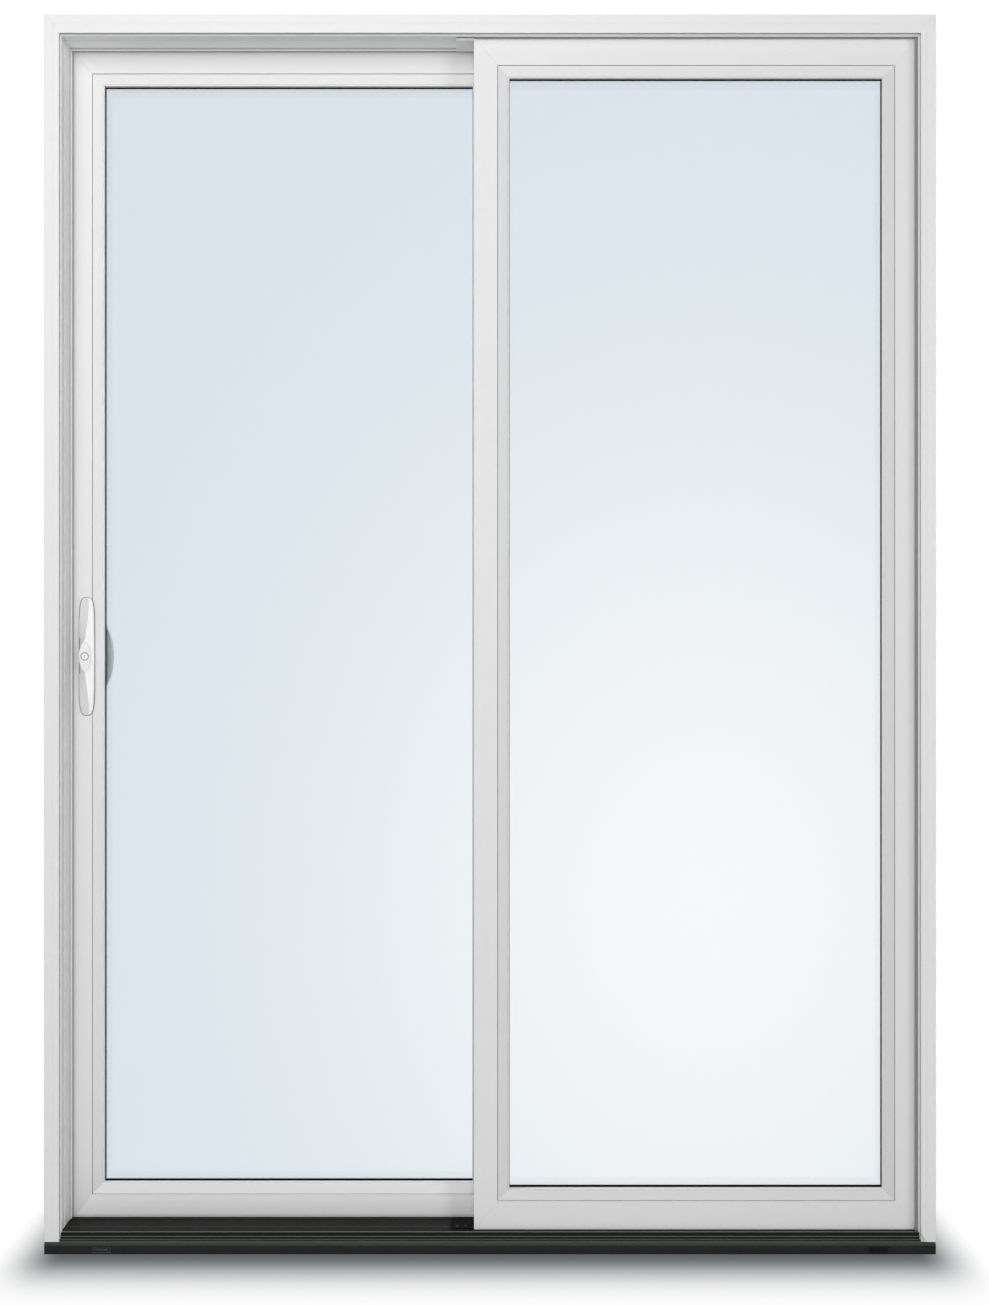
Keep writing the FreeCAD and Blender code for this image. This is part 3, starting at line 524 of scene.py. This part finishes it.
def add_fixed_panel_seal():
    """The grey seal in the gap beside the fixed panel, and its half-round run over the top; their
    grey is the seal's own colour and also painted shade of the gap.
    """
    first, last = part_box("fixed_left_stile")[0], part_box("fixed_right_stile")[1]
    front, base = first[1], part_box("fixed_right_stile")[0][2]
    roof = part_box("head_seal_block")[1][2]
    gap, wall = last[0] - 7.0 * MM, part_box("right_outer_stop")[0][0] + 2.8 * MM
    middle, width = 0.5 * (gap + wall), (wall - gap) / MM - 0.1
    bed, level = front + 1.0 * MM, roof - 0.9 * MM
    upright = swept(flat_strip(width, 5.0, 0.4), (middle, bed, base), (middle, bed, roof), OUT)
    across = swept(half_round(3.6, 2.6), (first[0], front, level), (gap, front, level), OUT)
    add_piece("fixed_panel_seal", together(upright, across), "frame", "gasket_rubber", "grey_seal_and_shade")


def add_reveal_shade_and_lips():
    """Grey strips in the groove behind the frame's front lip and in the outer stop's corner, whose
    grey is painted shade of the groove and the corner, and the stop's white lip, a painted highlight."""
    stop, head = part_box("left_outer_stop"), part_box("head_outer_stop")
    side, roof = stop[1][0] - STOP_PROUD, head[0][2] + STOP_PROUD
    depth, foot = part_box("left_jamb")[0][1] + 4.7 * MM, 27.4 * MM
    bed, shelf, clear = side - 2.9 * MM, roof + 2.9 * MM, 0.2 * MM
    groove = flat_strip(3.3, 2.7, 0.2)
    face, low = stop[1][1] - STOP_THICK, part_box("threshold")[1][2] + 0.5 * MM
    rear, inner = face - 2.4 * MM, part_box("fixed_left_stile")[0][0] - 2.0 * MM
    corner, apart = flat_strip(4.5, 0.2, 0.05), 0.7 * MM
    strips = together(
        swept(groove, (bed, depth, foot), (bed, depth, roof - clear), RIGHT),
        swept(groove, (-bed, depth, foot), (-bed, depth, roof - clear), LEFT),
        swept(groove, (side + clear, depth, shelf), (-side - clear, depth, shelf), DOWN),
        swept(corner, (side, rear, low), (side, rear, roof - apart), RIGHT),
        swept(corner, (side + apart, rear, roof), (inner, rear, roof), DOWN),
    )
    # Painted shade: the grey strips stand for the shade in the groove and in the stop's corner.
    add_piece("reveal_shade_strips", strips, "frame", "gasket_rubber", "grey_line_and_shade")
    edge, under = stop[1][0] - 0.5 * MM, head[0][2] + 0.5 * MM
    trim = flat_strip(2.4, 0.4, 0.1)
    lips = together(
        swept(trim, (edge, face, low), (edge, face, roof - 0.3 * MM), OUT),
        swept(trim, (edge + 1.25 * MM, face, under), (inner, face, under), OUT),
    )
    # Painted highlight: the lip's lighter vinyl stands for light caught on the stop's edge.
    add_piece("stop_lips", lips, "frame", "frame_vinyl", "vinyl_painted_light")


def outward_strip(face, outline, start, end):
    """An outline carried between two points (x, z) of a face that looks out."""
    return swept(outline, (start[0], face, start[1]), (end[0], face, end[1]), OUT)


def add_glazing_lips():
    """Round each pane a black wiping lip on the glass and a white lip on the bead's ledge, whose
    lighter vinyl is a painted highlight.
    """
    side, top, base = 0.4, 0.5, 1.7
    show, clear, inset = 0.3 * MM, 0.05 * MM, 1.0 * MM
    upright, upper, lower = (flat_strip(width, 0.6, 0.1) for width in (side, top, base))
    rim = flat_strip(1.6, 3.2, 0.4)
    for prefix, body in (("fixed", "frame"), ("gliding", "gliding_panel")):
        left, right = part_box(prefix + "_left_bead")[1][0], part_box(prefix + "_right_bead")[0][0]
        low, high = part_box(prefix + "_bottom_bead")[1][2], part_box(prefix + "_top_bead")[0][2]
        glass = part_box(prefix + "_outer_glass")[0][1]
        first, last = left + show, right - show
        west, east = first + 0.5 * side * MM, last - 0.5 * side * MM
        south, north = low + show + 0.5 * base * MM, high - show - 0.5 * top * MM
        foot, head = low + show + base * MM + clear, high - show - top * MM - clear
        wipers = together(
            outward_strip(glass, lower, (first, south), (last, south)),
            outward_strip(glass, upper, (first, north), (last, north)),
            outward_strip(glass, upright, (west, foot), (west, head)),
            outward_strip(glass, upright, (east, foot), (east, head)),
        )
        add_piece(prefix + "_wiping_lips", wipers, body, "gasket_rubber")
        ledge = glass - 7.5 * MM
        west, east, south, north = left - inset, right + inset, low - inset, high + inset
        rims = together(
            outward_strip(ledge, rim, (west, south), (west, north)),
            outward_strip(ledge, rim, (east, south), (east, north)),
            outward_strip(ledge, rim, (left, south), (right, south)),
            outward_strip(ledge, rim, (left, north), (right, north)),
        )
        # Painted highlight: the bead lips' lighter vinyl stands for light caught on the ledge.
        add_piece(prefix + "_bead_lips", rims, body, "bead_vinyl", "vinyl_painted_light")


# Sill trims and weep covers


def add_sill_trims():
    """Lines of painted highlight along the edges of the steps and the nose, and a paler strip on the
    nose's bevel that is a painted reflection. Each line has its depth, height and radius in
    millimetres."""
    front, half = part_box("sill")[0][1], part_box("threshold")[1][0]
    lines = ((2.6, 19.8, 0.50), (4.5, 22.8, 0.26), (7.0, 26.8, 0.36), (10.2, 33.4, 0.55))
    rods = []
    for depth, height, radius in lines:
        place = (front + depth * MM, height * MM)
        rods.append(swept(round_rod(radius), (-half, *place), (half, *place), UP))
    # Painted highlight: the rods' light grey stands for light caught along the edges.
    add_piece("sill_edge_lines", together(*rods), "frame", "sill_metal", "sill_edge_highlight")
    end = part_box("sill")[1][0]
    slope = np.array([0.0, -6.6, 3.0]) / math.hypot(6.6, 3.0)
    place = (front + 1.5 * MM, 17.7 * MM)
    strip = swept(flat_strip(6.2, 0.3, 0.12), (-end, *place), (end, *place), slope)
    # Painted reflection: the paler strip stands for the bevel reflecting the light above it.
    add_piece("nose_reflection_strip", strip, "frame", "sill_metal", "nose_painted_reflection")


def weep_plate(node, relief):
    """A plate in the place of a plain cover: relief(x, rim) gives its height at a distance x
    from its left end and a distance rim from its nearest edge."""
    low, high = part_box(node)
    across, along = np.linspace(low[0], high[0], 61), np.linspace(low[2], high[2], 25)
    x, z = np.meshgrid(across, along, indexing="ij")
    rim_x, rim_z = np.minimum(x - low[0], high[0] - x), np.minimum(z - low[2], high[2] - z)

    def place(u, v, height):
        return np.stack([u, high[1] - height, v], axis=-1)

    return relief_plate(across, along, relief(x - low[0], np.minimum(rim_x, rim_z)), place)


def add_weep_covers():
    """A cover with a hooded flap on the left and a louvred one on the right, in place of the
    plain covers. The flap's lighter grey is a painted highlight along its crest."""

    def tray(x, rim):
        return np.where(rim < 1.1 * MM, 1.0 * MM, 0.3 * MM)

    def louvres(x, rim):
        slot = (rim > 1.6 * MM) & (np.sin(x * 2 * math.pi / (5 * MM)) > 0.3)
        return np.where(slot, 0.4 * MM, 1.4 * MM)

    plate = weep_plate("left_weep_cover", tray)
    left = add_piece("left_weep_body", plate, "frame", "weep_plastic", "sill_metal_painted_lighter")
    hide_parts("left_weep_cover")
    low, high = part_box("left_weep_cover")
    bed, line, inset = high[1] - 0.3 * MM, 0.5 * (low[2] + high[2]) + 1.0 * MM, 4.0 * MM
    flap = outward_strip(bed, half_round(2.6, 2.0), (low[0] + inset, line), (high[0] - inset, line))
    # Painted highlight: the flap's lighter grey stands for the light line along its crest.
    add_piece("left_weep_flap", flap, "frame", "weep_plastic", "weep_flap")
    plate = weep_plate("right_weep_cover", louvres)
    right = add_piece("right_weep_body", plate, "frame", "weep_plastic")
    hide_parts("right_weep_cover")


# Handle, lock, joints and fasteners


def add_handle_gasket():
    """The grey gasket, also painted shade, under the outer handle: a flat section carried round the
    foot's outline |x / w|^3 + |z / h|^8 = 1, at (w cos^(2/3) a, h sin^(1/4) a) for a full turn of a.
    It stands out along the outline's slope, a little further on the left, where the shade is wider."""
    low, high = (np.array(corner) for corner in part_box("outer_handle"))
    centre, half = 0.5 * (low + high), 0.5 * (high - low)
    turn = np.linspace(0.0, -2 * math.pi, 160, endpoint=False)
    level = np.zeros(len(turn))
    across = np.sign(np.cos(turn)) * abs(np.cos(turn)) ** (2 / 3)
    along = np.sign(np.sin(turn)) * abs(np.sin(turn)) ** (1 / 4)
    slope_x, slope_z = across * abs(across) * 3 / half[0], along * abs(along) ** 6 * 8 / half[2]
    slope = np.stack([slope_x, level, slope_z], axis=1)
    slope /= np.linalg.norm(slope, axis=1)[:, None]
    x, z = centre[0] - 0.5 * MM + half[0] * across, centre[2] + half[2] * along
    path = np.stack([x, level + high[1], z], axis=1)[:, None, :]
    section = flat_strip(2.2, 0.35, 0.1)[None, :, :]
    outward = (section[..., :1] + 0.3 * MM) * slope[:, None, :]
    ring = closed_tube(path + outward + section[..., 1:] * np.array(OUT))
    # Painted shade: the grey ring stands for the shade round the handle's foot as well as a gasket.
    add_piece("handle_gasket", ring, "gliding_panel", "gasket_rubber", "grey_seal_and_shade")


def add_keyway():
    """A dark rim round the key cylinder, painted shade of the gap round it, and the lip and the slot
    of the keyway, the slot a grey strip of painted shade.
    """
    low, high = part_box("key_cylinder")
    x, z = 0.5 * (low[0] + high[0]), 0.5 * (low[2] + high[2])
    middle = (x, low[1], z)
    rim = half_round_ring(middle, OUT, RIGHT, (6.4, 6.4), 1.7, 0.35)
    add_piece("cylinder_shade_ring", rim, "gliding_panel", "cylinder_metal", "cylinder_shade_ring")
    lip = half_round_ring(middle, OUT, RIGHT, (1.5, 3.0), 0.8, 0.3)
    add_piece("keyway_lip", lip, "lock_spindle", "cylinder_metal")
    reach = 2.4 * MM
    slot = outward_strip(low[1], flat_strip(1.6, 0.12, 0.05), (x, z - reach), (x, z + reach))
    # Painted shade: the slot is a flat grey strip, not a recess.
    add_piece("keyway_slot", slot, "lock_spindle", "cylinder_metal", "grey_line_and_shade")


def add_screws():
    """Two screws in each plate of the lock, near its ends, and two in the sill's seal block."""
    plates = {
        "strike_plate": (RIGHT, IN, "frame", "lock_steel", 8.0),
        "lock_faceplate": (LEFT, IN, "gliding_panel", "lock_steel", 8.0),
        "inner_escutcheon": (IN, RIGHT, "gliding_panel", "inner_white", 6.5),
    }
    for plate, (axis, across, body, slot, inset) in plates.items():
        low, high = (np.array(corner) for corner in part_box(plate))
        face = 0.5 * (low + high) + 0.5 * (high - low) * np.array(axis)
        heads = []
        for height in (low[2] + inset * MM, high[2] - inset * MM):
            heads.append(screw_head((face[0], face[1], height), axis, across, 3.0, 0.9))
        add_piece(plate + "_screws", together(*heads), body, slot)
    low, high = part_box("sill_seal_block")
    heads = []
    for x in (-55.5 * MM, -41.5 * MM):
        heads.append(screw_head((x, low[1] + 8 * MM, high[2]), UP, RIGHT, 2.2, 0.7))
    add_piece("seal_block_screws", together(*heads), "frame", "lock_steel", "weep_flap")


def add_weld_lines():
    """The fine weld beads across the mitred corners of both panels, outside and inside. Outside,
    the fixed panel's start past the shadow gap at its right and top edges."""
    outline, short = half_round(0.8, 0.15), 0.01
    panels = (("fixed", "frame", 7.0 * MM, 2.5 * MM), ("gliding", "gliding_panel", 0.0, 0.0))
    for prefix, body, right_gap, top_gap in panels:
        low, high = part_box(prefix + "_left_stile")[0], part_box(prefix + "_right_stile")[1]
        faces = ((low[1], OUT, right_gap, top_gap), (high[1], IN, 0.0, 0.0))
        seams = []
        for face, out, right_cut, top_cut in faces:
            for x, in_x, cut_x in ((low[0], 1, 0.0), (high[0], -1, right_cut)):
                for z, in_z, cut_z in ((low[2], 1, 0.0), (high[2], -1, top_cut)):
                    skip = max(cut_x / STILE_FLAT, cut_z / RAIL_FLAT, short)
                    wide, tall = in_x * STILE_FLAT, in_z * RAIL_FLAT
                    first = (x + wide * skip, face, z + tall * skip)
                    last = (x + wide - in_x * 0.4 * MM, face, z + tall - in_z * 0.5 * MM)
                    seams.append(swept(outline, first, last, out))
        # Painted shade: the weld beads' darker tone stands for the shade along the fine joints.
        add_piece(prefix + "_weld_lines", together(*seams), body, "panel_vinyl", "weld_vinyl_painted_shade")


def add_frame_details():
    """The mitred gusset at the right jamb's foot with its rib, and the sweep line low on the
    gliding panel."""
    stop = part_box("right_outer_stop")
    face, edge, foot = stop[0][1], stop[0][0] + STOP_PROUD, stop[0][2]
    across, tall, clear, thick = 9.8 * MM, 15.2 * MM, 0.2 * MM, 0.4 * MM
    x = np.array([edge + clear, edge + across, edge + clear])
    z = np.array([foot + clear, foot + clear, foot + tall])
    front = np.stack([x, np.full(3, face - thick), z], axis=1)
    rear = front + np.array([0.0, thick, 0.0])
    gusset = capped_tube(np.stack([front, rear])[:, ::-1])
    add_piece("foot_gusset", gusset, "frame", "frame_vinyl", "gusset_vinyl")
    start, end = (edge + across, foot + 0.4 * MM), (edge + 0.6 * MM, foot + tall)
    rib = outward_strip(face, half_round(1.5, 0.9), start, end)
    add_piece("foot_rib", rib, "frame", "frame_vinyl", "bead_vinyl")
    low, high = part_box("gliding_bottom_rail")
    level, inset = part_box("threshold")[1][2] + 0.9 * MM, 1.0 * MM
    start, end = (low[0] + inset, level), (high[0] - inset, level)
    sweep = outward_strip(low[1], half_round(1.3, 0.4), start, end)
    add_piece("bottom_sweep_line", sweep, "gliding_panel", "gasket_rubber", "grey_line_and_shade")


add_stop_piles()
add_fixed_panel_seal()
add_reveal_shade_and_lips()
add_glazing_lips()
add_sill_trims()
add_weep_covers()
add_handle_gasket()
add_keyway()
add_screws()
add_weld_lines()
add_frame_details()


# Floor, light and camera


def seen_directly(tree):
    """One for camera, glossy and transmission rays, and nought for rays that light the object."""
    path = tree.nodes.new("ShaderNodeLightPath")
    seen = math_node(tree, "ADD", path.outputs["Is Camera Ray"], path.outputs["Is Glossy Ray"])
    return math_node(tree, "ADD", seen, path.outputs["Is Transmission Ray"])


def make_floor():
    """A pale floor, white to the eye, with the part's contact shadow: exp(-(d / 0.086)^2), where
    d is how far a point lies before or behind the sill, faded out past the sill's ends between
    |X| 0.718 and 0.835."""
    reach = 12.0
    corners = np.array([(-1, -1, 0), (1, -1, 0), (1, 1, 0), (-1, 1, 0)], float) * reach
    mesh = bpy.data.meshes.new("floor")
    mesh.from_pydata(corners, [], [(0, 1, 2, 3)])
    floor = bpy.data.objects.new("floor", mesh)
    bpy.context.scene.collection.objects.link(floor)
    finish = Finish("pale_floor")
    tree = finish.tree
    place = tree.nodes.new("ShaderNodeTexCoord")
    axes = tree.nodes.new("ShaderNodeSeparateXYZ")
    tree.links.new(place.outputs["Object"], axes.inputs["Vector"])
    depth = math_node(tree, "ABSOLUTE", axes.outputs["Y"])
    clear = math_node(tree, "MAXIMUM", math_node(tree, "SUBTRACT", depth, 0.058), 0.0)
    square = math_node(tree, "POWER", math_node(tree, "DIVIDE", clear, 0.086), 2.0)
    fall = math_node(tree, "EXPONENT", math_node(tree, "MULTIPLY", square, -1.0))
    ends = tree.nodes.new("ShaderNodeMapRange")
    ends.interpolation_type = "SMOOTHSTEP"
    ends.inputs["From Min"].default_value = 0.835
    ends.inputs["From Max"].default_value = 0.718
    tree.links.new(math_node(tree, "ABSOLUTE", axes.outputs["X"]), ends.inputs["Value"])
    shadow = math_node(tree, "MULTIPLY", fall, ends.outputs["Result"])
    tone = finish.blend(shadow, 1.0, (0.115, 0.128, 0.140))
    seen = tree.nodes.new("ShaderNodeEmission")
    tree.links.new(tone.outputs[2], seen.inputs["Color"])
    lit = tree.nodes.new("ShaderNodeBsdfDiffuse")
    lit.inputs["Color"].default_value = (0.8, 0.8, 0.8, 1.0)
    either = tree.nodes.new("ShaderNodeMixShader")
    tree.links.new(math_node(tree, "MINIMUM", seen_directly(tree), 1.0), either.inputs[0])
    tree.links.new(lit.outputs["BSDF"], either.inputs[1])
    tree.links.new(seen.outputs["Emission"], either.inputs[2])
    tree.links.new(either.outputs["Shader"], tree.nodes["Material Output"].inputs["Surface"])
    tree.nodes.remove(finish.shader)
    mesh.materials.append(finish.material)


def make_world(ambient):
    """White to the eye and in glass and gloss, and a soft grey sky for everything it lights."""
    world = bpy.data.worlds.new("studio")
    world.use_nodes = True
    tree = world.node_tree
    shade = tree.nodes.new("ShaderNodeMapRange")
    shade.inputs["To Min"].default_value = ambient
    shade.inputs["To Max"].default_value = 1.0
    tree.links.new(seen_directly(tree), shade.inputs["Value"])
    tree.links.new(shade.outputs["Result"], tree.nodes["Background"].inputs["Strength"])
    tree.nodes["Background"].inputs["Color"].default_value = (1.0, 1.0, 1.0, 1.0)
    bpy.context.scene.world = world


def add_softbox(name, place, aim, size, watts):
    """A square area lamp that faces a point and shows in no picture or reflection."""
    lamp = bpy.data.lights.new(name, "AREA")
    lamp.shape = "SQUARE"
    lamp.size = size
    lamp.energy = watts
    holder = bpy.data.objects.new(name, lamp)
    holder.location = place
    away = holder.location - holder.location.__class__(aim)
    holder.rotation_euler = away.to_track_quat("Z", "Y").to_euler()
    holder.visible_camera = False
    holder.visible_glossy = False
    holder.visible_transmission = False
    bpy.context.scene.collection.objects.link(holder)
    return holder


def add_lamps():
    """Soft studio light from the front, the right, behind and above, and a kicker from the right
    that lights only the outer handle and its lock."""
    add_softbox("key_softbox", (-0.75, -2.25, 2.6), (-0.35, 0.0, 1.6), 1.5, 28.0)
    add_softbox("right_softbox", (5.0, -5.0, 2.2), (0.0, 0.0, 1.0), 2.0, 105.0)
    add_softbox("front_softbox", (-0.2, -3.3, 1.1), (0.0, 0.0, 1.1), 1.4, 22.0)
    add_softbox("rear_softbox", (-1.6, 4.2, 2.4), (0.0, 0.0, 1.0), 2.0, 90.0)
    add_softbox("top_softbox", (0.0, 1.1, 4.0), (0.0, 0.0, 2.0), 1.6, 30.0)
    kicker = add_softbox("handle_kicker", (1.4, -1.3, 1.30), (-0.7, 0.0, 1.0), 0.6, 36.0)
    lit = bpy.data.collections.new("handle_pieces")
    for name in ("outer_handle", "key_cylinder", "key_plug"):
        lit.objects.link(frame["nodes"][name])
    kicker.light_linking.receiver_collection = lit


def make_camera():
    """A level camera straight in front of the outer face; its long side spans 36 mm."""
    lens = bpy.data.cameras.new("front_camera")
    lens.sensor_width = 36.0
    lens.lens = 34.33
    holder = bpy.data.objects.new("front_camera", lens)
    holder.location = (0.0076, -2.158, 1.0157)
    holder.rotation_euler = (math.pi / 2, 0.0, 0.0)
    bpy.context.scene.collection.objects.link(holder)
    bpy.context.scene.camera = holder


make_floor()
make_world(0.15)
add_lamps()
make_camera()
bpy.context.scene.view_settings.view_transform = "Standard"
